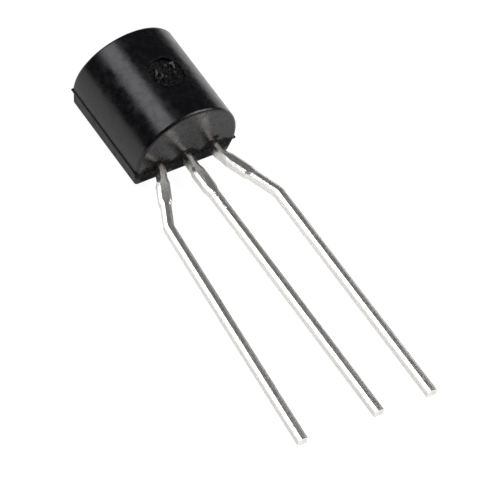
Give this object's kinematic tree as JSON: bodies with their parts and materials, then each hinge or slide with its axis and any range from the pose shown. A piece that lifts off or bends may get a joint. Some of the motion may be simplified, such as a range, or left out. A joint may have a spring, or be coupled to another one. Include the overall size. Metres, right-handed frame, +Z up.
{
  "type": "transistor",
  "caption": "Small transistor in a half-round moulded plastic body, with flat tinned leads formed outwards for a circuit board.",
  "frame": {"origin": "on the table plane, below the centre of the bounding box of the part as it lies on its flat back", "axes": "+Z up from the table, away from the flat back; +X along the leads, from the moulded body to the lead tips; +Y along the row of leads"},
  "size_m": [0.0182, 0.006, 0.0034],
  "materials": {
    "epoxy": "satin",
    "tinned_lead": "satin",
    "silver_epoxy": "matte",
    "silicon": "gloss",
    "gold_wire": "polished"
  },
  "bodies": {
    "root": {"moulded_body": "epoxy", "lead_collector": "tinned_lead", "lead_emitter": "tinned_lead", "lead_base": "tinned_lead", "die_attach": "silver_epoxy", "transistor_die": "silicon", "emitter_bond_wire": "gold_wire", "base_bond_wire": "gold_wire"}
  },
  "joints": []
}
